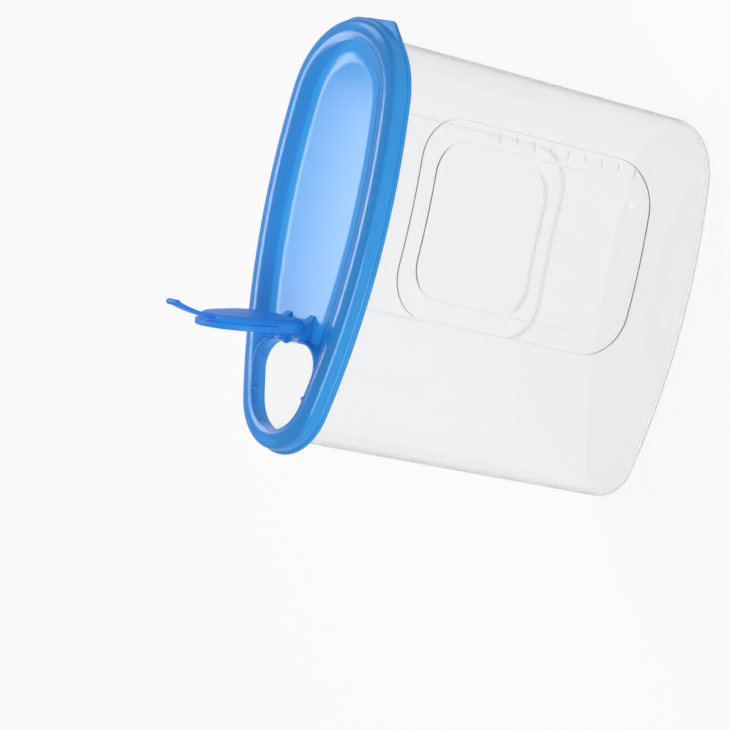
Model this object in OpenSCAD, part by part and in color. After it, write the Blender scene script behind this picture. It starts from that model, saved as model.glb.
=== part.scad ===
// Cereal container with a press-on lid and a flip spout cap.
// Origin: centre of the base on the table. X runs from the spout to the lift tab, Z is up.
// The plan is an egg of four tangent arcs: one arc at each end and a long flat arc on each side.

/* [Plan] */
// Length of the lid, spout end to tab end
lid_l = 240; // [232:1:250]
// Radius of the wide end, under the lift tab
tab_end_r = 49; // [47:0.5:51]
// Radius of the narrow end, at the spout
spout_end_r = 36; // [35:0.5:39]
// Radius of the two long sides
side_r = 380; // [360:5:420]

/* [Container] */
// Height of the whole object with the lid on and the cap shut down to the rim
total_h = 238.5; // [200:0.5:260]
// Wall thickness of the container
wall_t = 1.6; // [1.4:0.1:2]
// Thickness of the container's floor
floor_t = 2; // [1.5:0.1:3]
// Set-back of the body wall from the lid's lower edge
body_inset = 8.4; // [8.2:0.1:8.8]
// Draft of the body wall, in degrees
draft_a = 0.7; // [0.4:0.1:1]
// Outer radius where the wall turns into the floor
base_r = 8.5; // [7:0.5:10]
// Depth of the lip turned down outside the mouth
lip_h = 6.6; // [5:0.2:7]

/* [Grip] */
// Width of the grip recess on each long side
grip_w = 110; // [90:1:110]
// Height of the grip recess
grip_h = 162; // [120:1:165]
// Top of the grip recess, below the top of the lid
grip_drop = 32; // [30:1:40]
// Corner radius of the grip recess
grip_r = 26; // [18:1:30]
// Depth of each of its two steps
grip_step = 1; // [0.6:0.1:1.2]
// Distance between the edges of the two steps
grip_band = 11; // [8:0.5:14]
// Number of level marks
tick_n = 9; // [3:1:10]
// Spacing of the level marks
tick_pitch = 12.2; // [10:0.1:13]

/* [Lid] */
// Thickness of the lid
lid_t = 1.4; // [1.2:0.1:1.5]
// Height of the lid's skirt
skirt_h = 11.2; // [11:0.2:13]
// Radius of the skirt's outer shoulder
shoulder_r = 4; // [3.8:0.1:4.2]
// Set-back of the dished centre from the lid's lower edge
crest_inset = 11.5; // [11:0.1:12]
// Depth of the dished centre below the rim
dish_d = 5; // [4:0.2:5.4]
// Radius of the two bends of the dish's slope
dish_r = 6.2; // [5.6:0.2:6.6]
// Width of the lift tab's straight edge and corners
tab_w = 48; // [42:1:54]
// Radius of the lift tab's tight corner
tab_r = 5.5; // [4:0.5:7]
// Radius of the lift tab's wide corner
tab_wide_r = 24; // [20:1:28]
// Thickness of the lift tab
tab_t = 2.2; // [1.6:0.1:3]

/* [Spout] */
// Place of the hinge axis, from the spout end of the lid
axis_x = 66.5; // [65:0.5:68]
// Depth of the hinge axis below the top of the rim
axis_drop = 1.2; // [1:0.1:1.4]
// Radius of the hinge pins
pin_r = 2; // [1.6:0.1:2.2]
// Outer radius of the two hinge knuckles on the lid
knuckle_r = 4.2; // [3.9:0.1:4.3]
// Length of each hinge knuckle on the lid
knuckle_l = 6; // [5:0.5:8]
// Half-width of the cap's arm between the knuckles
arm_half = 7.6; // [5:0.1:8]
// Set-back of the pouring mouth from the lid's lower edge
mouth_inset = 12; // [11.8:0.1:12.2]
// Corner radius of the pouring mouth
mouth_r = 14; // [12:0.5:16]

/* [Cap] */
// Thickness of the cap
cap_t = 1.3; // [1.1:0.1:1.5]
// Height of the cap above the rim
cap_h = 7.2; // [6.5:0.1:9]
// Radius of the cap's upper edge
cap_edge_r = 4; // [3:0.5:5]
// Width of the flange round the front of the cap
flange_w = 1.8; // [1.4:0.1:2.2]
// Thickness of that flange
flange_t = 3.2; // [1.6:0.1:3.6]
// Length of the thumb tab beyond the cap
thumb_l = 20; // [14:1:24]
// Width of the thumb tab
thumb_w = 10; // [8:1:16]
// Thickness of the thumb tab
thumb_t = 2; // [1.6:0.1:2.4]
// Outer radius of the two lugs that guide the cap down the back of the mouth
lug_r = 2.4; // [2:0.1:2.5]
// Half of the distance between the lugs
lug_half = 8; // [6:0.5:12]
// Angle at which the cap stands open, as drawn
open_a = 81; // [0:1:110]

/* [Clearances] */
// Gap between pieces that only face each other
gap = 0.3; // [0.3:0.05:0.4]
// Radial running clearance of the hinge pins
pin_gap = 0.05; // [0.03:0.01:0.1]
// Overlap of walls that grow into each other within one moulding
weld = 0.4; // [0.2:0.1:0.6]

/* [Hidden] */

clear_c = [0.93, 0.94, 0.95, 0.45];
blue_c = [0.25, 0.6, 0.95];
cap_c = [0.15, 0.5, 0.92];

fine = 180;
over = 1;
end1_x = lid_l / 2 - tab_end_r;
end2_x = -lid_l / 2 + spout_end_r;
span = end1_x - end2_x;
lean1 = side_r - tab_end_r;
lean2 = side_r - spout_end_r;
from2 = (span * span + lean2 * lean2 - lean1 * lean1) / (2 * span);
side_x = end2_x + from2;
side_y = sqrt(lean2 * lean2 - from2 * from2);
meet1_a = atan2(side_y, end1_x - side_x);
meet2_a = atan2(side_y, end2_x - side_x);

skirt_z = total_h - skirt_h;
panel_z = total_h - dish_d;
under_z = total_h - lid_t;
rim_z = under_z - gap;
lip_z = rim_z - lip_h;
hinge_x = -lid_l / 2 + axis_x;
hinge_z = total_h - axis_drop;
shut_z = total_h + gap;
seal_z = skirt_z + 2;

// Points of an arc in a section, each as [inset, height]
function bend(c, r, a0, a1, n = 5) =
    [for (i = [0:n]) let (a = a0 + (a1 - a0) * i / n) c + r * [cos(a), sin(a)]];

// Inset of the body wall's outer face at a height
function wall_in(z) = body_inset + tan(draft_a) * (skirt_z - z);

// An outline is a list of rays, each with its arc's centre, radius and angle.
// Moving along a ray gives the parallel outline, so every offset keeps the same centres.
function arc_rays(c, r, a0, a1, n, skip = 0) =
    [for (i = [skip:n]) [c[0], c[1], r, a0 + (a1 - a0) * i / n]];
function flip_rays(half) =
    [for (i = [len(half) - 1:-1:0]) let (q = half[i])
        if (abs(q[1] + q[2] * sin(q[3])) > 0.01) [q[0], -q[1], q[2], -q[3]]];
function at_inset(rays, inset) =
    [for (q = rays) [q[0] + (q[2] - inset) * cos(q[3]), q[1] + (q[2] - inset) * sin(q[3])]];

egg_half = concat(
    arc_rays([end1_x, 0], tab_end_r, 0, meet1_a, 9),
    arc_rays([side_x, -side_y], side_r, meet1_a, meet2_a, 15, 1),
    arc_rays([end2_x, 0], spout_end_r, meet2_a, 180, 8, 1));
egg = concat(egg_half, flip_rays(egg_half));

// The pouring mouth is a D: the egg's narrow end, cut off square behind with round corners
mouth_back = hinge_x - knuckle_r - 2 * gap - cap_t;
corner_x = mouth_back - mouth_r;
corner_y = sqrt(pow(side_r - mouth_inset - mouth_r, 2) - pow(corner_x - side_x, 2)) - side_y;
corner_a = atan2(corner_y + side_y, corner_x - side_x);
mouth_step = (180 - meet2_a) / 7;
mouth_half = concat(
    arc_rays([corner_x, corner_y], mouth_r, 0, corner_a, 8),
    arc_rays([end2_x, 0], spout_end_r - mouth_inset, meet2_a + mouth_step / 2,
             180 - mouth_step / 2, 6));
mouth = concat(mouth_half, flip_rays(mouth_half));

// A solid whose skin follows a section round an outline; both ends of the section are closed flat
module loft(rays, section) {
    n = len(rays);
    last = len(section) - 1;
    polyhedron(
        points = [for (p = section, q = at_inset(rays, p[0])) [q[0], q[1], p[1]]],
        faces = concat(
            [[for (i = [0:n - 1]) i]],
            [for (j = [0:last - 1], i = [0:n - 1]) let (k = (i + 1) % n)
                [j * n + i, (j + 1) * n + i, (j + 1) * n + k, j * n + k]],
            [[for (i = [n - 1:-1:0]) last * n + i]]));
}

module prism(rays, inset, z0, z1)
    translate([0, 0, z0]) linear_extrude(z1 - z0) polygon(at_inset(rays, inset));

// One stretch of the long walls as a true curved plate, on both sides, which goes a
// little past the wide end's arc so that the grip's edge is always inside it
module side_plate(section) {
    past_a = 1.5;
    for (s = [1, -1]) mirror([0, (1 - s) / 2, 0]) translate([side_x, -side_y, 0])
        rotate([0, 0, meet1_a - past_a])
            rotate_extrude(angle = meet2_a - meet1_a + past_a, $fn = fine)
                polygon([for (p = section) [side_r - p[0], p[1]]]);
}

// CONTAINER

module body_shell() {
    foot = wall_in(base_r) + base_r;
    lip_out = 2.1 + gap + 0.9;
    top_r = 2.4;
    mouth_in = wall_in(rim_z) + wall_t;
    loft(egg, concat(
        bend([foot, base_r], base_r, 270, 180),
        [[wall_in(rim_z - wall_t), rim_z - wall_t], [lip_out + wall_t, rim_z - wall_t],
         [lip_out + wall_t, lip_z], [lip_out, lip_z]],
        bend([lip_out + top_r, rim_z - top_r], top_r, 180, 90, 4),
        [[mouth_in - 0.7, rim_z], [mouth_in, rim_z - 0.7]],
        bend([foot, base_r], base_r - wall_t, 180, 255, 4),
        [[foot + 1, floor_t]]));
}

// A rounded tall outline on the long sides, as a prism through both walls
module grip_prism(shrink) {
    w = grip_w - 2 * shrink;
    h = grip_h - 2 * shrink;
    r = grip_r - shrink / 2;
    z1 = total_h - grip_drop - shrink;
    for (s = [1, -1]) translate([side_x, s * 18, 0]) rotate([90, 0, s > 0 ? 180 : 0])
        linear_extrude(60) {
            translate([-w / 2 + r, z1 - h]) square([w - 2 * r, h]);
            translate([-w / 2, z1 - h + r]) square([w, h - 2 * r]);
            for (x = [-1, 1], z = [z1 - h + r, z1 - r])
                translate([x * (w / 2 - r), z]) circle(r, $fn = 64);
        }
}

// The long walls moved inward, for the steps of the grip
module stepped_wall(depth, t) {
    z0 = total_h - grip_drop - grip_h - over;
    z1 = total_h - grip_drop + over;
    side_plate([[wall_in(z0) + depth, z0], [wall_in(z1) + depth, z1],
                [wall_in(z1) + depth + t, z1], [wall_in(z0) + depth + t, z0]]);
}

// Level marks on the front, one short and one long in turn
module ticks() {
    proud = 0.35;
    thick = 0.9;
    edge = 2.5;
    top = total_h - grip_drop - grip_band - 40;
    intersection() {
        stepped_wall(grip_step - proud, proud + wall_t / 2);
        for (i = [0:tick_n - 1]) {
            l = i % 2 == 0 ? 5.6 : 3.4;
            translate([side_x + grip_w / 2 - edge - l, -lid_l / 2, top - i * tick_pitch])
                cube([l, lid_l / 2, thick]);
        }
    }
}

module container() color(clear_c) {
    difference() {
        body_shell();
        grip_prism(0);
    }
    intersection() {
        stepped_wall(grip_step, wall_t);
        difference() {
            grip_prism(-weld);
            grip_prism(grip_band);
        }
    }
    intersection() {
        stepped_wall(2 * grip_step, wall_t);
        grip_prism(grip_band - weld);
    }
    ticks();
}

// LID

// The section runs from the dish's underside down the sealing rib, round the channel that
// takes the container's lip, down inside the skirt, and back over the shoulder to the dish
module lid_shell() {
    bead_h = 2.2;
    lean = 30;
    slope = (dish_d - 2 * dish_r * (1 - cos(lean))) / sin(lean);
    reach = 2 * dish_r * sin(lean) + slope * cos(lean);
    high = [crest_inset, total_h - dish_r];
    low = [crest_inset + reach, panel_z + dish_r];
    shoulder = [1.6 + shoulder_r, total_h - shoulder_r];
    rib_out = wall_in(rim_z) + wall_t + gap;
    rib_in = crest_inset + 0.7;
    loft(egg, concat(
        bend(low, dish_r + lid_t, 270, 270 - lean, 3),
        bend(high, dish_r - lid_t, 90 - lean, acos(0.7 / (dish_r - lid_t)), 2),
        [[rib_in, seal_z], [rib_out + 0.5, seal_z], [rib_out, seal_z + 1], [rib_out, under_z]],
        bend(shoulder, shoulder_r - lid_t, 90, 180, 3),
        [[2.1, skirt_z + bead_h], [1.7, skirt_z], [0.4, skirt_z], [0, skirt_z + 0.4],
         [0, skirt_z + bead_h - 0.7], [0.7, skirt_z + bead_h]],
        bend(shoulder, shoulder_r, 180, 90),
        bend(high, dish_r, 90, 90 - lean, 3),
        bend(low, dish_r, 270 - lean, 270, 3)));
}

// One side of the lift tab: a corner, and a line from it that is tangent to the end's arc
function tab_side(r, y) =
    let (c = [lid_l / 2 - r - 0.2, y], away = c - [end1_x, 0],
         a = atan2(away[1], away[0]) + acos((tab_end_r - r) / norm(away)))
    concat(bend(c, r, 0, a, 8),
        [[end1_x, 0] + tab_end_r * [cos(a), sin(a)], [end1_x, tab_end_r * sin(a)]]);

// Lift tab: a ledge at the skirt's foot that squares off the wide end, tighter at one corner
module lift_tab() {
    near = tab_side(tab_r, tab_w / 2 - tab_r);
    far = tab_side(tab_wide_r, tab_w / 2 - tab_wide_r / 2 - 2);
    difference() {
        translate([0, 0, skirt_z]) linear_extrude(tab_t) polygon(concat(far,
            [for (i = [len(near) - 1:-1:0]) [near[i][0], -near[i][1]]]));
        translate([end1_x, 0, skirt_z - over])
            cylinder(r = tab_end_r - 1.2, h = tab_t + 2 * over, $fn = fine);
    }
}

// Two knuckles that hold the cap's pins, each on a web and with a ramp down to the panel
module knuckle() {
    ramp = [10.5, panel_z - hinge_z - 0.3];
    far = norm(ramp);
    a = atan2(ramp[1], ramp[0]) + acos(knuckle_r / far);
    translate([hinge_x, arm_half + 0.4 + knuckle_l, hinge_z]) rotate([90, 0, 0])
        difference() {
            linear_extrude(knuckle_l) {
                circle(knuckle_r, $fn = 64);
                polygon([(knuckle_r - 0.05) * [cos(a), sin(a)], ramp, [0, ramp[1] - 0.8],
                         [mouth_back - hinge_x + 0.4, ramp[1] - 0.8],
                         [mouth_back - hinge_x + 0.4, 0.6], [0, 0.6]]);
            }
            translate([0, 0, 1]) cylinder(r = pin_r + pin_gap, h = knuckle_l, $fn = 64);
        }
}

// Small catches on the mouth's edge that the shut cap snaps over
module catches()
    for (s = [1, -1]) translate([end2_x - 4, s * (spout_end_r - mouth_inset - 1.2), total_h - 1.6])
        sphere(r = 1.5, $fn = 32);

module lid() color(blue_c) {
    difference() {
        union() {
            lid_shell();
            prism(mouth, -wall_t, seal_z, total_h);
        }
        prism(mouth, 0, skirt_z - over, total_h + over);
        translate([hinge_x - 8, -arm_half - 0.4, panel_z]) cube([8, 2 * arm_half + 0.8, 10]);
    }
    for (s = [1, -1]) mirror([0, (1 - s) / 2, 0]) knuckle();
    catches();
    lift_tab();
}

// SPOUT CAP, drawn shut and then turned open about the hinge axis

module cap_shell() {
    top = shut_z + cap_h;
    edge = [cap_edge_r - cap_t, top - cap_edge_r];
    loft(mouth, concat(
        bend(edge, cap_edge_r - cap_t, 90, 180, 3),
        [[0, shut_z], [-cap_t, shut_z]],
        bend(edge, cap_edge_r, 180, 90)));
}

// Flange round the front of the cap, resting on the rim
module flange() {
    difference() {
        prism(mouth, -cap_t - flange_w, shut_z, shut_z + flange_t);
        prism(mouth, -cap_t / 2, shut_z - over, shut_z + flange_t + over);
        translate([end2_x + 3, -lid_l / 2, shut_z - over]) cube([lid_l, lid_l, flange_t + 2 * over]);
    }
}

// Thumb tab: a strip that leaves the cap's front edge, curls up a little and ends in a bead
module thumb_tab() {
    curl_r = 90;
    lift_a = 8;
    tip_a = lift_a + (thumb_l + 6) / curl_r * 180 / PI;
    root = [end2_x - (spout_end_r - mouth_inset) + 1.5, shut_z + cap_h - cap_edge_r / 2];
    centre = root + curl_r * [sin(lift_a), cos(lift_a)];
    tip = centre - curl_r * [sin(tip_a), cos(tip_a)];
    translate([0, thumb_w / 2, 0]) rotate([90, 0, 0]) {
        linear_extrude(thumb_w) polygon(concat(
            bend(centre, curl_r + thumb_t / 2, 270 - lift_a, 270 - tip_a, 8),
            bend(centre, curl_r - thumb_t / 2, 270 - tip_a, 270 - lift_a, 8)));
        translate([tip[0], tip[1], 0]) cylinder(r = thumb_t * 0.8, h = thumb_w, $fn = 40);
    }
}

// Lugs inside the cap that ride down just in front of the mouth's rear edge, each with an eye
module lugs() {
    x = mouth_back - gap - lug_r;
    z = total_h - 2 * lug_r;
    for (s = [1, -1]) translate([0, s * lug_half + 1, 0]) rotate([90, 0, 0]) difference() {
        union() {
            translate([x, z, 0]) cylinder(r = lug_r, h = 2, $fn = 48);
            translate([x - lug_r + 0.6, z, 0])
                cube([2 * lug_r - 0.8, shut_z + cap_h - cap_t / 2 - z, 2]);
        }
        translate([x, z, -over]) cylinder(r = lug_r / 2, h = 2 + 2 * over, $fn = 32);
    }
}

// Arm from the cap's rear wall to the hinge, with the two pins
module arm() {
    barrel_r = knuckle_r - 0.8;
    back = mouth_back + cap_t / 2;
    translate([0, arm_half, 0]) rotate([90, 0, 0]) linear_extrude(2 * arm_half) {
        translate([hinge_x, hinge_z]) circle(barrel_r, $fn = 64);
        polygon([[hinge_x, hinge_z + barrel_r], [back + 2.6, shut_z + cap_h - 2],
                 [back, shut_z + cap_h - 2], [back, shut_z + 0.2], [back + 0.9, hinge_z - 1.6],
                 [hinge_x, hinge_z - barrel_r]]);
    }
    translate([hinge_x, 0, hinge_z]) rotate([90, 0, 0])
        cylinder(r = pin_r, h = 2 * (arm_half + knuckle_l - 0.9), center = true, $fn = 64);
}

module spout_cap() color(cap_c)
    translate([hinge_x, 0, hinge_z]) rotate([0, open_a, 0]) translate([-hinge_x, 0, -hinge_z]) {
        cap_shell();
        flange();
        thumb_tab();
        lugs();
        arm();
    }

container();
lid();
spout_cap();
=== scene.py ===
# %% [markdown]
# A see-through cereal container with a dished blue lid and a flip spout cap, standing open.
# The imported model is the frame: every piece here lies where its solid lies, and the finer
# surfaces are worked out again with numpy so that bends and fillets catch the light.

# %% Load the frame
import math

import bpy
import numpy as np
from mathutils import Matrix, Vector


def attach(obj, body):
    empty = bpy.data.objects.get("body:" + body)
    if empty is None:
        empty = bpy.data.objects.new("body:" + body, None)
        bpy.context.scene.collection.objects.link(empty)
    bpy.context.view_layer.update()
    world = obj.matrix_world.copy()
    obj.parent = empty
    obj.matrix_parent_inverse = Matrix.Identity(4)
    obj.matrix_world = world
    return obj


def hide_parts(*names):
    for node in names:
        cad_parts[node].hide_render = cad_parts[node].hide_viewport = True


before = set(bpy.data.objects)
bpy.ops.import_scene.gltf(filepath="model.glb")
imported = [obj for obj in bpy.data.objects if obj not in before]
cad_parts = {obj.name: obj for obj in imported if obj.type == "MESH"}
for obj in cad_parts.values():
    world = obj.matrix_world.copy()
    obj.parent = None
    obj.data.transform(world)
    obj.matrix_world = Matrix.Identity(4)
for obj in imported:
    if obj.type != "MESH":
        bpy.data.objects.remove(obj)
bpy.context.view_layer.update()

# %% [markdown]
# The container, the lid and the cap all follow one plan, an egg made of four tangent arcs.
# Its sizes are in millimetres, as on the drawing of the part, and turn into metres only
# when a mesh is made. A name that ends in _Z is a height above the ground, one that ends
# in _R is a radius, and an inset is a distance inward from the lid's outline.

# %% Sizes in millimetres
LID_LENGTH, TOTAL_HEIGHT = 240.0, 238.5
TAB_END_R, SPOUT_END_R, SIDE_R = 49.0, 36.0, 380.0

# the container's wall, floor and round foot, its inset and the lean of its wall
WALL, FLOOR, BASE_R = 1.6, 2.0, 8.5
BODY_INSET, DRAFT = 8.4, math.tan(math.radians(0.7))

# the lid's wall, the clearance between pieces, the skirt's height and the panel's depth
LID_T, GAP = 1.4, 0.3
SKIRT_H, DISH_DEPTH = 11.2, 5.0

SKIRT_Z = TOTAL_HEIGHT - SKIRT_H
PANEL_Z = TOTAL_HEIGHT - DISH_DEPTH
UNDER_Z = TOTAL_HEIGHT - LID_T
RIM_Z = UNDER_Z - GAP
SEAL_Z = SKIRT_Z + 2
SHUT_Z = TOTAL_HEIGHT + GAP
HINGE = np.array([-53.5, 0.0, 237.3])
OPEN_ANGLE = math.radians(81)

# the end arcs' centres lie on the x axis, and the side arcs' centre where both are tangent
END1 = LID_LENGTH / 2 - TAB_END_R
END2 = SPOUT_END_R - LID_LENGTH / 2
SPAN = END1 - END2
LEAN1, LEAN2 = SIDE_R - TAB_END_R, SIDE_R - SPOUT_END_R
FROM2 = (SPAN**2 + LEAN2**2 - LEAN1**2) / (2 * SPAN)
SIDE_X, SIDE_Y = END2 + FROM2, math.sqrt(LEAN2**2 - FROM2**2)
MEET1 = math.atan2(SIDE_Y, END1 - SIDE_X)
MEET2 = math.atan2(SIDE_Y, END2 - SIDE_X)
print("side arcs meet the ends at", round(math.degrees(MEET1), 2), round(math.degrees(MEET2), 2))

# %% [markdown]
# An outline is kept as rays: each station knows its arc's centre, radius and direction.
# Walking along every ray by the same distance gives the parallel outline, which is how a
# moulding keeps an even wall. The mouth's D is made in the same way from its own arcs.


# %% Outlines as rays
def half_rays(arcs, count):
    """Stations at even steps along tangent arcs, each arc given as centre x, centre y,
    radius, first angle and last angle. A station is centre + radius * (cos, sin)."""
    arcs = np.array(arcs)
    lengths = arcs[:, 2] * (arcs[:, 4] - arcs[:, 3])
    ends = np.cumsum(lengths)
    way = (np.arange(count) + 0.5) / count * ends[-1]
    k = np.minimum(np.searchsorted(ends, way), len(arcs) - 1)
    angle = arcs[k, 3] + (way - ends[k] + lengths[k]) / arcs[k, 2]
    return np.stack([arcs[k, 0], arcs[k, 1], arcs[k, 2], angle], 1)


def whole_rays(half):
    """The upper half of an outline followed by its mirror image in the x axis."""
    return np.vstack([half, half[::-1] * [1, -1, 1, -1]])


def at_inset(rays, inset):
    """x and y of each station moved inward: centre + (radius - inset) * (cos, sin)."""
    reach = rays[:, 2] - inset
    return np.stack([rays[:, 0] + reach * np.cos(rays[:, 3]),
                     rays[:, 1] + reach * np.sin(rays[:, 3])], 1)


EGG_ARCS = [[END1, 0, TAB_END_R, 0, MEET1],
            [SIDE_X, -SIDE_Y, SIDE_R, MEET1, MEET2],
            [END2, 0, SPOUT_END_R, MEET2, math.pi]]
MOUTH_INSET, MOUTH_R, CAP_T, KNUCKLE_R = 12.0, 14.0, 1.3, 4.2
MOUTH_BACK = HINGE[0] - KNUCKLE_R - 2 * GAP - CAP_T
CORNER_X = MOUTH_BACK - MOUTH_R
CORNER_Y = math.sqrt((SIDE_R - MOUTH_INSET - MOUTH_R) ** 2 - (CORNER_X - SIDE_X) ** 2) - SIDE_Y
CORNER_A = math.atan2(CORNER_Y + SIDE_Y, CORNER_X - SIDE_X)


def mouth_rays(arc_stations, rear_stations):
    """The D-shaped mouth: round corners and the narrow end as arcs, and a straight rear
    edge whose stations all point along x, as rays of the corner's radius do."""
    arcs = half_rays([[CORNER_X, CORNER_Y, MOUTH_R, 0, CORNER_A],
                      [SIDE_X, -SIDE_Y, SIDE_R - MOUTH_INSET, CORNER_A, MEET2],
                      [END2, 0, SPOUT_END_R - MOUTH_INSET, MEET2, math.pi]], arc_stations)
    y = CORNER_Y * (np.arange(rear_stations) + 0.5) / rear_stations
    rear = np.stack([np.full_like(y, CORNER_X), y, np.full_like(y, MOUTH_R), 0 * y], 1)
    return whole_rays(np.vstack([rear, arcs]))


egg = whole_rays(half_rays(EGG_ARCS, 240))
mouth = mouth_rays(110, 26)
print("egg", len(egg), "stations, widest", round(2 * at_inset(egg, 0)[:, 1].max(), 2), "mm")
print("mouth", len(mouth), "stations, from x", round(at_inset(mouth, 0)[:, 0].min(), 2),
      "to", round(MOUTH_BACK, 2), "mm")

# %% [markdown]
# A moulding's wall is a closed section carried round an outline. Rings of points, one for
# each point of the section, are joined by quads, and a flat polygon closes each end.


# %% Rings into closed skins
def bend(centre, radius, first, last, count):
    """Points of a section's arc, centre + radius * (cos, sin), angles in degrees."""
    angle = np.radians(np.linspace(first, last, count))
    return (centre + radius * np.column_stack([np.cos(angle), np.sin(angle)])).tolist()


def rings_of(rays, section):
    """One ring for each section point: the outline at that inset, at that height."""
    return np.stack([np.column_stack([at_inset(rays, inset), np.full(len(rays), z)])
                     for inset, z in section])


def six_volumes(a, b, c):
    """Six times the volume between the origin and each triangle: a . (b x c)."""
    return np.einsum("ij,ij->i", a, np.cross(b, c))


def skin(name, rings, ends="flat"):
    """A closed mesh through rings of equal length. Quad (j, i) joins stations i and i + 1 of
    rings j and j + 1; ends="flat" closes the first and last ring with one polygon each, and
    ends="join" joins the last ring to the first. A negative volume turns every face round."""
    rows, count = rings.shape[:2]
    points = rings.reshape(-1, 3) * 0.001
    last = rows - 1 if ends == "flat" else rows
    j, i = np.mgrid[0:last, 0:count]
    here, along = j * count, (j + 1) % rows * count
    right = (i + 1) % count
    quads = np.stack([here + i, here + right, along + right, along + i], -1).reshape(-1, 4)
    a, b, c, d = (points[quads[:, k]] for k in range(4))
    volume = (six_volumes(a, b, c) + six_volumes(a, c, d)).sum()
    caps = []
    if ends == "flat":
        caps = [np.arange(count)[::-1], np.arange(count) + (rows - 1) * count]
        for cap in caps:
            p = points[cap]
            volume += six_volumes(p[:1].repeat(count - 2, 0), p[1:-1], p[2:]).sum()
    if volume < 0:
        quads, caps = quads[:, ::-1], [cap[::-1] for cap in caps]
    loops = np.concatenate([quads.ravel(), *caps]).astype(np.int32)
    totals = np.concatenate([np.full(len(quads), 4), [len(cap) for cap in caps]])
    totals = totals.astype(np.int32)
    mesh = bpy.data.meshes.new(name)
    mesh.vertices.add(len(points))
    mesh.vertices.foreach_set("co", points.ravel())
    mesh.loops.add(len(loops))
    mesh.loops.foreach_set("vertex_index", loops)
    mesh.polygons.add(len(totals))
    mesh.polygons.foreach_set("loop_start", (np.cumsum(totals) - totals).astype(np.int32))
    mesh.update(calc_edges=True)
    mesh.validate()
    piece = bpy.data.objects.new(name, mesh)
    bpy.context.scene.collection.objects.link(piece)
    return piece


def carve(piece, tool, operation):
    """Adds the tool to the piece (UNION) or cuts it away (DIFFERENCE), and deletes the tool.
    Corners that the solver leaves a rounding error apart are joined again."""
    change = piece.modifiers.new(operation.title(), "BOOLEAN")
    change.operation, change.object, change.solver = operation, tool, "EXACT"
    piece.modifiers.new("Close", "WELD").merge_threshold = 1e-7
    graph = bpy.context.evaluated_depsgraph_get()
    mesh = bpy.data.meshes.new_from_object(piece.evaluated_get(graph))
    piece.modifiers.clear()
    piece.data = mesh
    bpy.data.objects.remove(tool)


SHARP_ANGLE = math.radians(32)


def finish_piece(piece, body, node):
    """Smooth shading with hard edges above an angle, then the piece's body and its node."""
    mesh = piece.data
    mesh.polygons.foreach_set("use_smooth", np.ones(len(mesh.polygons), bool))
    mesh.set_sharp_from_angle(angle=SHARP_ANGLE)
    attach(piece, body)
    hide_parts(node)
    print(piece.name, len(mesh.polygons), "faces")


print("a quarter arc:", [[round(v, 2) for v in p] for p in bend([0, 0], 1, 0, 90, 4)])

# %% [markdown]
# The container is one thin wall from the floor up, round the rim and down the inside. It is
# a smooth tapered shell first; the grip is cut and filled afterwards, because its edges are
# crisp and run in round corners that no even grid would follow.


# %% Container shell
def wall_in(z):
    """Inset of the wall's outer face: the draft leans it in towards the floor."""
    return BODY_INSET + DRAFT * (SKIRT_Z - z)


def straight_wall(first_z, last_z, inward):
    """40 section points along the wall, that far inward from its outer face."""
    z = np.linspace(first_z, last_z, 40)
    return np.column_stack([wall_in(z) + inward, z]).tolist()


def container_rings():
    """Rings from the floor's underside up the outside, over the rim and down the inside."""
    foot, flat = wall_in(BASE_R) + BASE_R, 1.5
    step_z, step_r = RIM_Z - WALL, 1.2
    lip_in, lip_z, lip_r, edge = 3.3, RIM_Z - 6.6, 2.4, 0.3
    mouth_in, mouth_r, inside_top = wall_in(RIM_Z) + WALL, 0.7, 222
    section = [[foot + flat, 0]] + bend([foot, BASE_R], BASE_R, 270, 180, 12)
    section += straight_wall(BASE_R + 1, step_z - step_r, 0)
    section += bend([wall_in(RIM_Z) - step_r, step_z - step_r], step_r, 0, 90, 4)
    section += [[lip_in + WALL, step_z], [lip_in + WALL, lip_z],
                [lip_in + edge, lip_z], [lip_in, lip_z + edge]]
    section += bend([lip_in + lip_r, RIM_Z - lip_r], lip_r, 180, 90, 8)
    section += bend([mouth_in - mouth_r, RIM_Z - mouth_r], mouth_r, 90, 0, 4)
    section += straight_wall(inside_top, BASE_R + 1, WALL)
    section += bend([foot, BASE_R], BASE_R - WALL, 180, 270, 8)
    rings = rings_of(egg, section)
    rings[-1, :, 2] = FLOOR
    inner = rings[-1].copy()
    inner[:, :2] = at_inset(egg, foot + flat)
    return np.concatenate([rings, inner[None]])


container = skin("container_wall", container_rings())
print("container shell:", len(container.data.polygons), "faces")

# %% [markdown]
# The grip is a rounded rectangle on each long side, stepped in by 1 mm and, 11 mm further
# in, by 1 mm more. Its surfaces are rings that shrink towards the middle of the rectangle
# while their depth below the wall's face changes, so every edge follows the outline. The
# cutter ends in flat faces well off the wall: a Boolean needs a flat end to stay closed.

# %% Grip
GRIP_HALF_W, GRIP_HALF_H, GRIP_R, GRIP_TOP, GRIP_STEP = 55, 81, 26, 32, 1


def soft_step(t):
    """0 below 0, 1 above 1, and a smooth 3t^2 - 2t^3 between."""
    t = np.clip(t, 0, 1)
    return t * t * (3 - 2 * t)


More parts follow.
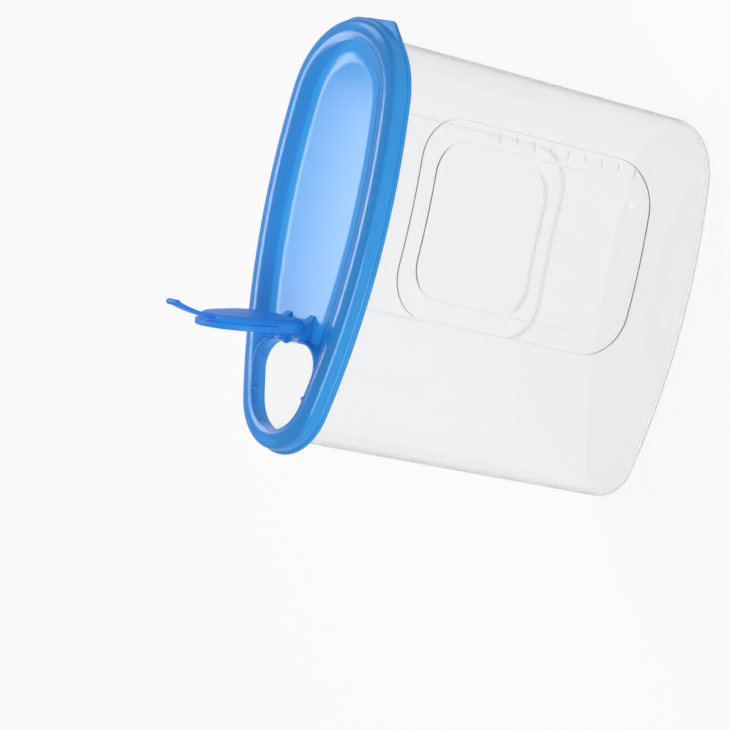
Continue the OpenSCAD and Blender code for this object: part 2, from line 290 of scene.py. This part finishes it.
def grip_outline(shrink):
    """The rounded rectangle shrunk on all sides: four corners of 16 stations with 12 more
    along each edge between them, as x and z. Every outline has the same stations."""
    half_w, half_h = GRIP_HALF_W - shrink, GRIP_HALF_H - shrink
    radius = min(max(GRIP_R - shrink / 2, 0.8), half_w - 0.1)
    angle = np.radians(np.arange(4)[:, None] * 90 + np.linspace(0, 90, 16))
    corner = np.array([[1, 1], [-1, 1], [-1, -1], [1, -1]])[:, None]
    arcs = radius * np.stack([np.cos(angle), np.sin(angle)], -1)
    points = corner * [half_w - radius, half_h - radius] + arcs
    first, last = points[:, -1:], np.roll(points, -1, 0)[:, :1]
    share = np.arange(1, 13)[None, :, None] / 13
    points = np.concatenate([points, first + (last - first) * share], 1).reshape(-1, 2)
    return points + [SIDE_X, TOTAL_HEIGHT - GRIP_TOP - GRIP_HALF_H]


def on_side(points, depth, side):
    """Points x, z laid on the long wall at a depth below its outer face, which is an arc:
    y = side * (sqrt(radius^2 - (x - centre x)^2) - centre y)."""
    reach = SIDE_R - wall_in(points[:, 1]) - depth
    y = np.sqrt(reach**2 - (points[:, 0] - SIDE_X) ** 2) - SIDE_Y
    return np.column_stack([points[:, 0], side * y, points[:, 1]])


def grip_cutter(side):
    """Through the wall between two flat ends, at y = 60 and y = 20 mm, with a small flare
    that rounds the edge of the outer step."""
    flare = [(-0.3, -0.45), (0, -0.45), (0.1, -0.2), (0.25, -0.07), (0.45, 0), (4, 0)]
    rings = [on_side(grip_outline(shrink), depth, side) for depth, shrink in flare]
    outer_end = rings[0] * [1, 0, 1] + [0, 60 * side, 0]
    inner_end = rings[-1] * [1, 0, 1] + [0, 20 * side, 0]
    return skin("grip_cutter", np.stack([outer_end, *rings, inner_end]))


def grip_plate(side):
    """The stepped plate that fills the opening, as thick as the wall, and reaching 0.4 mm
    under its edge. The depth is 1 mm and then 2 mm, with a soft step between."""
    shrink = np.array([-0.4, 0.4, 2, 5, 8, 10.4, 10.7, 11, 11.3, 11.6, 12,
                       14, 18, 23, 28, 33, 38, 43, 48, 52, 54])
    depth = GRIP_STEP + soft_step((shrink - 10.3) / 1.6)
    outer = [on_side(grip_outline(s), d, side) for s, d in zip(shrink[::-1], depth[::-1])]
    inner = [on_side(grip_outline(s), d + WALL, side) for s, d in zip(shrink, depth)]
    return skin("grip_plate", np.stack(outer + inner))


for side in (-1, 1):
    carve(container, grip_cutter(side), "DIFFERENCE")
    carve(container, grip_plate(side), "UNION")
print("container with its grip:", len(container.data.polygons), "faces")

# %% [markdown]
# The level marks are low bars on the front wall, inside the grip's outer step, one long and
# one short in turn. Each follows the wall's arc and is merged into it.

# %% Level marks
MARKS, MARK_TOP, MARK_PITCH, MARK_LENGTHS = 9, 83, 12.2, (5.6, 3.4)
MARK_T, MARK_PROUD, MARK_EDGE = 0.9, 0.35, 2.5


def level_mark(x0, x1, z0):
    """A small section with soft corners, carried along the wall's arc from x0 to x1, where
    it drops into the wall. The angle at x is arccos((x - centre x) / radius)."""
    face = wall_in(z0) + GRIP_STEP - MARK_PROUD
    root, soft = face + 1.1, 0.12
    section = np.array([[root, 0], [face + soft, 0], [face, soft], [face, MARK_T - soft],
                        [face + soft, MARK_T], [root, MARK_T]])
    x = np.array([x0, x0 + 0.1, *np.linspace(x0 + 0.5, x1 - 0.5, 4), x1 - 0.1, x1])
    drop = np.array([0.15, 0.03, 0, 0, 0, 0, 0.03, 0.15])
    angle = -np.arccos((x - SIDE_X) / (SIDE_R - face))
    reach = SIDE_R - section[None, :, 0] - drop[:, None]
    return skin("level_mark", np.stack([SIDE_X + reach * np.cos(angle)[:, None],
                                        SIDE_Y + reach * np.sin(angle)[:, None],
                                        z0 + section[None, :, 1] + 0 * reach], -1))


mark_end = SIDE_X + GRIP_HALF_W - MARK_EDGE
for i in range(MARKS):
    mark_start = mark_end - MARK_LENGTHS[i % 2]
    mark_z = TOTAL_HEIGHT - MARK_TOP - MARK_PITCH * i
    carve(container, level_mark(mark_start, mark_end, mark_z), "UNION")
finish_piece(container, "container", "container")

# %% [markdown]
# The lid is one moulding: a skirt with a bead along its foot, a crowned crest, a slope down
# to the dished panel, and below the crest a rib that plugs the rim. The last ring above and
# below lies near the slope's foot, and a flat polygon there is the panel.

# %% Lid shell
LEAN, DISH_R, CREST = 30, 6.2, 11.5
SHOULDER_IN, SHOULDER_R, RIB_SHIFT = 5.6, 4, 0.7
LEAN_COS, LEAN_SIN = math.cos(math.radians(LEAN)), math.sin(math.radians(LEAN))
SLOPE = (DISH_DEPTH - 2 * DISH_R * (1 - LEAN_COS)) / LEAN_SIN
DISH_IN = CREST + 2 * DISH_R * LEAN_SIN + SLOPE * LEAN_COS


def lid_section():
    """The section from the panel's underside out to the skirt and back over the top.
    The crest rises above the line between the two arcs by tan(tilt) * span * t * (1 - t),
    a parabola that leaves both arcs at their own slope. The arcs are lowered a little by
    sink. The slope runs out into the panel along a wide arc, so that no line shows there."""
    high, low = [CREST, TOTAL_HEIGHT - DISH_R], [DISH_IN, PANEL_Z + DISH_R]
    shoulder = [SHOULDER_IN, TOTAL_HEIGHT - SHOULDER_R]
    rib_out, rib_in = wall_in(RIM_Z) + WALL + GAP, CREST + RIB_SHIFT
    rib_angle = math.degrees(math.acos(RIB_SHIFT / (DISH_R - LID_T)))
    under = [[DISH_IN + 4, PANEL_Z - LID_T]]
    under += bend(low, DISH_R + LID_T, 270, 270 - LEAN, 8)
    under += bend(high, DISH_R - LID_T, 90 - LEAN, rib_angle, 6)
    rib = [[rib_in, SEAL_Z + 0.3], [rib_in - 0.3, SEAL_Z], [rib_out + 0.5, SEAL_Z],
           [rib_out, SEAL_Z + 1], [rib_out, UNDER_Z]]
    inside = bend(shoulder, SHOULDER_R - LID_T, 90, 180, 8)
    inside += [[2.1, SKIRT_Z + 2.2], [1.7, SKIRT_Z + 0.1]]
    bead = bend([0.45, SKIRT_Z + 0.45], 0.45, 270, 180, 5)
    bead += bend([0.55, SKIRT_Z + 1.65], 0.55, 180, 100, 5)
    crease = [[0.66, SKIRT_Z + 2.2], [0.95, SKIRT_Z + 2.35], [1.25, SKIRT_Z + 2.6]]
    face = [[1.45, SKIRT_Z + 3.2], [1.55, SKIRT_Z + 5]]
    tilt, sink = 22, 0.35
    first = bend([shoulder[0], shoulder[1] - sink], SHOULDER_R, 180, 90 + tilt, 12)
    last = bend([high[0], high[1] - sink], DISH_R, 90 - tilt, 90 - LEAN, 4)
    start, stop = np.array(first[-1]), np.array(last[0])
    way = np.linspace(0, 1, 13)[1:-1, None]
    bulge = math.tan(math.radians(tilt)) * (stop[0] - start[0]) * way * (1 - way)
    crown = (start + (stop - start) * way + bulge * [0, 1]).tolist()
    wide = 16.0
    run_out = [DISH_IN + (wide - DISH_R) * math.tan(math.radians(LEAN / 2)), PANEL_Z + wide]
    over = first + crown + last + bend(run_out, wide, 270 - LEAN, 270, 14)
    over += [[run_out[0] + 1.5, PANEL_Z]]
    return under + rib + inside + bead + crease + face + over


lid = skin("lid_moulding", rings_of(egg, lid_section()))
print("lid section", len(lid_section()), "points, panel starts", round(DISH_IN, 2), "mm in")

# %% [markdown]
# The pouring mouth is cut through the lid, and a thin collar stands round it, level with
# the crest. Behind, the collar drops away between the hinge's knuckles to let the arm pass.

# %% Mouth and collar
COLLAR_T, ARM_HALF, SLOT_HALF = 1.6, 7.6, 8.0


def collar_rings():
    """A closed band round the mouth. Its top is a rounded edge at the crest's height, and
    sinks to the panel where |y| is less than the arm's slot, behind the mouth."""
    section = [[0, SEAL_Z + 0.3], [0, TOTAL_HEIGHT - 0.4], [-0.12, TOTAL_HEIGHT - 0.1],
               [-0.4, TOTAL_HEIGHT + 0.02], [-COLLAR_T + 0.4, TOTAL_HEIGHT + 0.02],
               [-COLLAR_T + 0.12, TOTAL_HEIGHT - 0.1], [-COLLAR_T, TOTAL_HEIGHT - 0.4],
               [-COLLAR_T, SEAL_Z + 0.3], [-COLLAR_T + 0.3, SEAL_Z], [-0.3, SEAL_Z]]
    rings = rings_of(mouth, section)
    behind = rings[..., 0] > CORNER_X + MOUTH_R / 2
    slot = behind * (1 - soft_step((np.abs(rings[..., 1]) - SLOT_HALF) / 0.5))
    low = np.minimum(rings[..., 2], PANEL_Z - 0.3)
    rings[..., 2] += slot * (low - rings[..., 2])
    return rings


mouth_cut = rings_of(mouth, [[0, SKIRT_Z - 4], [0, TOTAL_HEIGHT + 4]])
carve(lid, skin("mouth_cutter", mouth_cut), "DIFFERENCE")
carve(lid, skin("collar", collar_rings(), ends="join"), "UNION")
print("lid with its mouth:", len(lid.data.polygons), "faces")

# %% [markdown]
# Two knuckles hold the cap's pins. Each is a short barrel on a web, with a ramp down to the
# panel. A side view of one is an outline that is carried straight along y.

# %% Knuckles
KNUCKLE_W, RAMP_LENGTH = 6.0, 10.5


def extrude_y(name, outline, y0, y1, edge=0.35):
    """A flat x-z outline carried from y0 to y1, with its two rims drawn in by a small
    rounded edge: rings at y0, y0 + edge, y1 - edge and y1, the end ones shrunk."""
    outline = np.array(outline)
    following, before = np.roll(outline, -1, 0), np.roll(outline, 1, 0)
    along = following - before
    normal = np.stack([along[:, 1], -along[:, 0]], 1)
    normal /= np.linalg.norm(normal, axis=1)[:, None]
    area = np.sum(outline[:, 0] * following[:, 1] - following[:, 0] * outline[:, 1])
    normal *= math.copysign(1, area)
    steps = [(y0, edge), (y0 + edge * 0.3, edge * 0.3), (y0 + edge, 0),
             (y1 - edge, 0), (y1 - edge * 0.3, edge * 0.3), (y1, edge)]
    rings = [np.insert(outline - normal * cut, 1, y, axis=1) for y, cut in steps]
    return skin(name, np.stack(rings))


def knuckle_outline():
    """The barrel's arc, the tangent ramp down to the panel, and the web to the collar."""
    ramp = np.array([RAMP_LENGTH, PANEL_Z - HINGE[2] - 0.3])
    turn = math.atan2(ramp[1], ramp[0]) + math.acos(KNUCKLE_R / np.linalg.norm(ramp))
    web, buried = MOUTH_BACK - HINGE[0] + 0.6, ramp[1] - 0.8
    arc = bend([0, 0], KNUCKLE_R, math.degrees(turn), 172, 24)
    points = [[web, arc[-1][1]], [web, buried], [ramp[0] - 0.6, buried], list(ramp)]
    return np.array(arc + points) + [HINGE[0], HINGE[2]]


for side in (1, -1):
    y0, y1 = sorted([side * SLOT_HALF, side * (SLOT_HALF + KNUCKLE_W)])
    carve(lid, extrude_y("knuckle", knuckle_outline(), y0, y1), "UNION")
print("lid with its knuckles:", len(lid.data.polygons), "faces")

# %% [markdown]
# Two small catches hold the shut cap: beads that bulge from the mouth's edge. A lift tab
# squares off the wide end, so that a thumb can start to peel the lid off.

# %% Catches and lift tab
CATCH_R = 1.5


def ball(name, centre, radius):
    """Rings of a sphere: radius * cos(latitude) wide at radius * sin(latitude)."""
    latitude = np.radians(np.linspace(-84, 84, 11))
    turn = np.linspace(0, 2 * math.pi, 24, endpoint=False)
    wide, high = radius * np.cos(latitude)[:, None], radius * np.sin(latitude)[:, None]
    return skin(name, np.stack([centre[0] + wide * np.cos(turn), centre[1] + wide * np.sin(turn),
                                centre[2] + high + 0 * turn], -1))


def tab_side(radius, y):
    """Half of the tab's outline: a corner's arc from the straight edge round to the point
    where the line to the end arc is tangent to both."""
    centre = np.array([LID_LENGTH / 2 - radius - 0.2, y])
    away = centre - [END1, 0]
    turn = math.atan2(away[1], away[0]) + math.acos((TAB_END_R - radius) / np.linalg.norm(away))
    turn = math.degrees(turn)
    corner = bend(centre, radius, 0, turn, 20)
    return np.array(corner + bend([END1, 0], TAB_END_R - 0.05, turn, turn + 3, 3))


def lift_tab():
    """A ledge at the skirt's foot that squares off the wide end, tight at one corner and
    wide at the other; the rim of its top and bottom is drawn in by a small round."""
    outer = np.vstack([tab_side(5.5, 18.5)[::-1] * [1, -1], tab_side(24.0, 10.0)])
    out = (outer - [END1, 0]) / np.linalg.norm(outer - [END1, 0], axis=1)[:, None]
    inner = out * (TAB_END_R - 1.2) + [END1, 0]
    rings = []
    for z, cut in ((0, 0.5), (0.15, 0.15), (0.5, 0), (1.7, 0), (2.05, 0.15), (2.2, 0.5)):
        ring = np.vstack([outer - out * cut, inner[::-1]])
        rings.append(np.column_stack([ring, np.full(len(ring), SKIRT_Z + z)]))
    return skin("lift_tab", np.stack(rings))


for side in (1, -1):
    place = (END2 - 4, side * (SPOUT_END_R - MOUTH_INSET - 1.2), TOTAL_HEIGHT - 1.6)
    carve(lid, ball("catch", place, CATCH_R), "UNION")
carve(lid, lift_tab(), "UNION")
finish_piece(lid, "lid", "lid")

# %% [markdown]
# The cap is a D-shaped tray turned upside down. It is worked out shut, where the mouth's
# outline can be used as it is, and then every point is turned open about the hinge line.
# The thumb strip, the arm with its pins and the two lugs with eyes are merged into it.

# %% Cap
CAP_H, CAP_EDGE = 7.2, 4.0
FLANGE_W, FLANGE_T, FLANGE_X, FLANGE_RUN = 1.8, 3.2, -80.5, 2.5
THUMB_R, THUMB_LENGTH, THUMB_HALF, THUMB_BEAD_R = 90.0, 26.0, 5, 1.6
LUG_R, LUG_Y, PIN_R = 2.4, 8, 2.0


def cap_rings():
    """The tray's section, with a top that is crowned by 1 mm and a flange that swells out of
    the wall's foot only in front: its width is 1.8 mm times a soft step along x."""
    top = SHUT_Z + CAP_H
    into = np.array([CAP_EDGE + 1, 6, 7.5, 9, 10.5, 12, 13])
    crown = np.column_stack([into, top + soft_step((into - 3) / 11)]).tolist()
    edge = [CAP_EDGE - CAP_T, top - CAP_EDGE]
    inside = [[i, z - CAP_T] for i, z in crown[::-1]] + bend(edge, CAP_EDGE - CAP_T, 90, 180, 8)
    foot = [[0, SHUT_Z + 0.3], [-0.3, SHUT_Z]]
    flange = [[-CAP_T + 0.3, SHUT_Z], [-CAP_T, SHUT_Z + 0.3], [-CAP_T, SHUT_Z + FLANGE_T - 0.4],
              [-CAP_T, SHUT_Z + FLANGE_T - 0.1], [-CAP_T, SHUT_Z + FLANGE_T]]
    over = bend(edge, CAP_EDGE, 180, 90, 14) + crown
    rings = rings_of(mouth, inside + foot + flange + over)
    start = len(inside) + len(foot)
    swell = FLANGE_W * soft_step((FLANGE_X - rings[start, :, 0]) / FLANGE_RUN)
    for row, share in zip(range(start, start + 5), (0.96, 1, 1, 0.96, 0.85)):
        rings[row, :, 0] += share * swell * np.cos(mouth[:, 3])
        rings[row, :, 1] += share * swell * np.sin(mouth[:, 3])
    return rings


def thumb_outline():
    """A strip 2 mm thick that leaves the cap's front edge, curls up along an arc and ends
    in a round bead."""
    lift = 8.0
    last = lift + math.degrees(THUMB_LENGTH / THUMB_R)
    root = np.array([END2 - (SPOUT_END_R - MOUTH_INSET) + 1.5, SHUT_Z + CAP_H - 2])
    up = np.array([math.sin(math.radians(lift)), math.cos(math.radians(lift))])
    centre = root + THUMB_R * up
    tip = bend(centre, THUMB_R, 270 - last, 270 - last, 1)[0]
    under = bend(centre, THUMB_R + 1, 270 - lift, 270 - last + 0.5, 24)
    bead = bend(tip, THUMB_BEAD_R, -last - 52, -last - 308, 18)
    return under + bead + bend(centre, THUMB_R - 1, 270 - last + 0.5, 270 - lift, 24)


def arm_outline():
    """From the cap's rear wall back to the barrel round the pin."""
    barrel, back = KNUCKLE_R - 0.8, MOUTH_BACK + CAP_T / 2
    arc = bend([HINGE[0], HINGE[2]], barrel, 90, -90, 20)
    return arc + [[back + 0.9, HINGE[2] - 1.6], [back, SHUT_Z + 0.2],
                  [back, SHUT_Z + CAP_H - 2], [back + 2.6, SHUT_Z + CAP_H - 2]]


def pins():
    """One round bar through the arm, whose two ends are drawn in by 0.3 mm."""
    turn = np.linspace(0, 2 * math.pi, 48, endpoint=False)
    rings = [np.column_stack([HINGE[0] + r * np.cos(turn), np.full(48, y),
                              HINGE[2] + r * np.sin(turn)])
             for y, r in ((-12.7, 1.7), (-12.4, PIN_R), (12.4, PIN_R), (12.7, 1.7))]
    return skin("pins", np.stack(rings))


def turn_open(piece):
    """Turns a mesh about the hinge line: x' = x cos + z sin, z' = z cos - x sin."""
    points = np.empty(len(piece.data.vertices) * 3)
    piece.data.vertices.foreach_get("co", points)
    points = points.reshape(-1, 3) - HINGE * 0.001
    x, z = points[:, 0].copy(), points[:, 2].copy()
    points[:, 0] = x * math.cos(OPEN_ANGLE) + z * math.sin(OPEN_ANGLE)
    points[:, 2] = z * math.cos(OPEN_ANGLE) - x * math.sin(OPEN_ANGLE)
    piece.data.vertices.foreach_set("co", (points + HINGE * 0.001).ravel())
    piece.data.update()


cap = skin("spout_flap", cap_rings())
carve(cap, extrude_y("thumb_tab", thumb_outline(), -THUMB_HALF, THUMB_HALF, 0.5), "UNION")
carve(cap, extrude_y("arm", arm_outline(), -ARM_HALF, ARM_HALF, 0.3), "UNION")

lug = np.array([MOUTH_BACK - GAP - LUG_R, TOTAL_HEIGHT - 2 * LUG_R])
lug_top = SHUT_Z + CAP_H - CAP_T / 2
stem = bend(lug, LUG_R, -180, 0, 24)
stem += [[lug[0] + LUG_R - 0.2, lug_top], [lug[0] - LUG_R + 0.6, lug_top]]
eye = bend(lug, LUG_R / 2, 0, 345, 24)
for y in (-LUG_Y, LUG_Y):
    carve(cap, extrude_y("lug", stem, y - 1, y + 1, 0.25), "UNION")
    carve(cap, extrude_y("eye", eye, y - 2, y + 2, 0.01), "DIFFERENCE")
carve(cap, pins(), "UNION")
turn_open(cap)
finish_piece(cap, "spout_cap", "spout_cap")

# %% [markdown]
# Three plastics. The container is clear with a trace of haze. The lid and the cap are a
# blue that some light passes through, and a volume inside them absorbs red and green, so
# they are a little deeper where walls lie one behind another.


# %% Plastics
def nodes_of(name):
    """A new node material: itself, its tree, its shader and its output."""
    material = bpy.data.materials.new(name)
    material.use_nodes = True
    tree = material.node_tree
    return material, tree, tree.nodes["Principled BSDF"], tree.nodes["Material Output"]


def fine_skin(tree, shader, scale, strength):
    """A faint orange-peel bump from noise on Object coordinates."""
    place = tree.nodes.new("ShaderNodeTexCoord")
    noise = tree.nodes.new("ShaderNodeTexNoise")
    noise.inputs["Scale"].default_value = scale
    noise.inputs["Detail"].default_value = 3
    bump = tree.nodes.new("ShaderNodeBump")
    bump.inputs["Strength"].default_value = strength
    bump.inputs["Distance"].default_value = 0.0004
    tree.links.new(place.outputs["Object"], noise.inputs["Vector"])
    tree.links.new(noise.outputs["Fac"], bump.inputs["Height"])
    tree.links.new(bump.outputs["Normal"], shader.inputs["Normal"])


def blue_plastic(name, base, density, absorb, roughness, specular):
    """Half solid colour, half glass whose inside keeps exp(-density * way * (1 - absorb))
    of each colour along the way that light goes through it."""
    material, tree, shader, output = nodes_of(name)
    shader.inputs["Base Color"].default_value = (*base, 1)
    shader.inputs["Roughness"].default_value = roughness
    shader.inputs["IOR"].default_value = 1.45
    shader.inputs["Specular IOR Level"].default_value = specular
    shader.inputs["Transmission Weight"].default_value = 0.55
    fine_skin(tree, shader, 60, 0.012)
    volume = tree.nodes.new("ShaderNodeVolumeAbsorption")
    volume.inputs["Color"].default_value = (*absorb, 1)
    volume.inputs["Density"].default_value = density
    tree.links.new(volume.outputs["Volume"], output.inputs["Volume"])
    return material


def clear_plastic():
    """Almost colourless and almost smooth, so that what lies behind stays readable."""
    material, tree, shader, output = nodes_of("frosted_clear")
    shader.inputs["Base Color"].default_value = (0.98, 0.985, 0.988, 1)
    shader.inputs["Roughness"].default_value = 0.09
    shader.inputs["IOR"].default_value = 1.45
    shader.inputs["Transmission Weight"].default_value = 0.97
    fine_skin(tree, shader, 25, 0.01)
    return material


absorbed = (0.0, 0.66, 0.985)
for piece, material in (
        (container, clear_plastic()),
        (lid, blue_plastic("blue_lid", (0.045, 0.47, 0.97), 320, absorbed, 0.2, 0.45)),
        (cap, blue_plastic("blue_cap", (0.03, 0.43, 0.99), 300, absorbed, 0.4, 0.2))):
    piece.data.materials.clear()
    piece.data.materials.append(material)
    print(piece.name, "is made of", material.name)

# %% [markdown]
# The camera stands where the photographer did: above and in front, and rolled so that the
# spout points down and to the left. Its three axes are written as rows of a matrix.

# %% Camera
CAMERA_PLACE = (-0.05392, -2.17995, 1.80674)
right = (0.20922938, -0.5831982, -0.78492224)
down = (-0.97786016, -0.1276947, -0.16578171)
ahead = (-0.00354682, 0.80223059, -0.59700377)
camera = bpy.data.objects.new("camera", bpy.data.cameras.new("camera"))
camera.data.sensor_width, camera.data.lens = 36, 246.5
camera.data.clip_end = 50
camera.matrix_world = Matrix.Translation(CAMERA_PLACE) @ Matrix(
    (right, [-v for v in down], [-v for v in ahead])).transposed().to_4x4()
bpy.context.scene.collection.objects.link(camera)
bpy.context.scene.camera = camera
print("camera", CAMERA_PLACE, "with a lens of", camera.data.lens, "mm")

# %% [markdown]
# A white floor that keeps a soft shadow: 85 percent of what the camera, or a ray that has
# passed through the plastic, sees of it shines by itself, so the lamps needn't be strong.
# The world is white to the same rays, and half as bright as a lamp and in reflections.

# %% Floor and world
FLOOR_HALF, FLOOR_DROP = 6.0, -0.0002
floor_mesh = bpy.data.meshes.new("floor")
floor_mesh.from_pydata([(x * FLOOR_HALF, y * FLOOR_HALF, FLOOR_DROP)
                        for x, y in ((-1, -1), (1, -1), (1, 1), (-1, 1))], [], [(0, 1, 2, 3)])
floor = bpy.data.objects.new("floor", floor_mesh)
bpy.context.scene.collection.objects.link(floor)


def seen_directly(tree):
    """1 for camera rays and for rays that have passed through a surface, 0 for others."""
    path = tree.nodes.new("ShaderNodeLightPath")
    either = tree.nodes.new("ShaderNodeMath")
    either.operation = "MAXIMUM"
    tree.links.new(path.outputs["Is Camera Ray"], either.inputs[0])
    tree.links.new(path.outputs["Is Transmission Ray"], either.inputs[1])
    return either.outputs[0]


paper, paper_tree, paper_shader, paper_out = nodes_of("paper")
paper_shader.inputs["Base Color"].default_value = (0.86, 0.86, 0.86, 1)
paper_shader.inputs["Roughness"].default_value = 0.9
glow = paper_tree.nodes.new("ShaderNodeEmission")
glow.inputs["Strength"].default_value = 1.0
glow_share = paper_tree.nodes.new("ShaderNodeMath")
glow_share.operation = "MULTIPLY"
glow_share.inputs[1].default_value = 0.85
mix = paper_tree.nodes.new("ShaderNodeMixShader")
paper_tree.links.new(seen_directly(paper_tree), glow_share.inputs[0])
paper_tree.links.new(glow_share.outputs[0], mix.inputs[0])
paper_tree.links.new(paper_shader.outputs[0], mix.inputs[1])
paper_tree.links.new(glow.outputs[0], mix.inputs[2])
paper_tree.links.new(mix.outputs[0], paper_out.inputs["Surface"])
floor_mesh.materials.append(paper)

world = bpy.data.worlds.new("studio")
bpy.context.scene.world = world
world.use_nodes = True
sky = world.node_tree.nodes["Background"]
sky.inputs["Color"].default_value = (0.97, 0.98, 1, 1)
level = world.node_tree.nodes.new("ShaderNodeMapRange")
level.inputs["To Min"].default_value = 0.5
level.inputs["To Max"].default_value = 1.0
world.node_tree.links.new(seen_directly(world.node_tree), level.inputs["Value"])
world.node_tree.links.new(level.outputs["Result"], sky.inputs["Strength"])
print("floor", 2 * FLOOR_HALF, "m wide, under a white world")

# %% [markdown]
# Three soft lamps. The key lights the whole from in front, the rim picks out the far edges,
# and a small one behind the lid is mirrored in its panel, which makes the pale gradient
# there. The camera sees none of them, neither directly nor through the plastic.


# %% Lamps
def softbox(name, place, aim, width, height, power):
    """A rectangular area lamp at a place in metres, turned to face a point."""
    lamp = bpy.data.lights.new(name, "AREA")
    lamp.shape, lamp.size, lamp.size_y, lamp.energy = "RECTANGLE", width, height, power
    stand = bpy.data.objects.new(name, lamp)
    look = (Vector(place) - Vector(aim)).to_track_quat("Z", "Y")
    stand.matrix_world = Matrix.Translation(place) @ look.to_matrix().to_4x4()
    stand.visible_camera = stand.visible_transmission = False
    bpy.context.scene.collection.objects.link(stand)
    print(name, "lamp of", power, "W,", width, "by", height, "m")


softbox("key", (-0.7, -1.5, 1.2), (0, 0, 0.15), 0.9, 0.9, 16)
softbox("rim", (0.9, 0.9, 1.1), (0, 0, 0.2), 0.7, 0.5, 4)
softbox("panel", (0.0125, 0.304, 0.515), (0.0125, -0.021, 0.282), 0.185, 0.12, 0.52)
bpy.context.scene.view_settings.view_transform = "Standard"
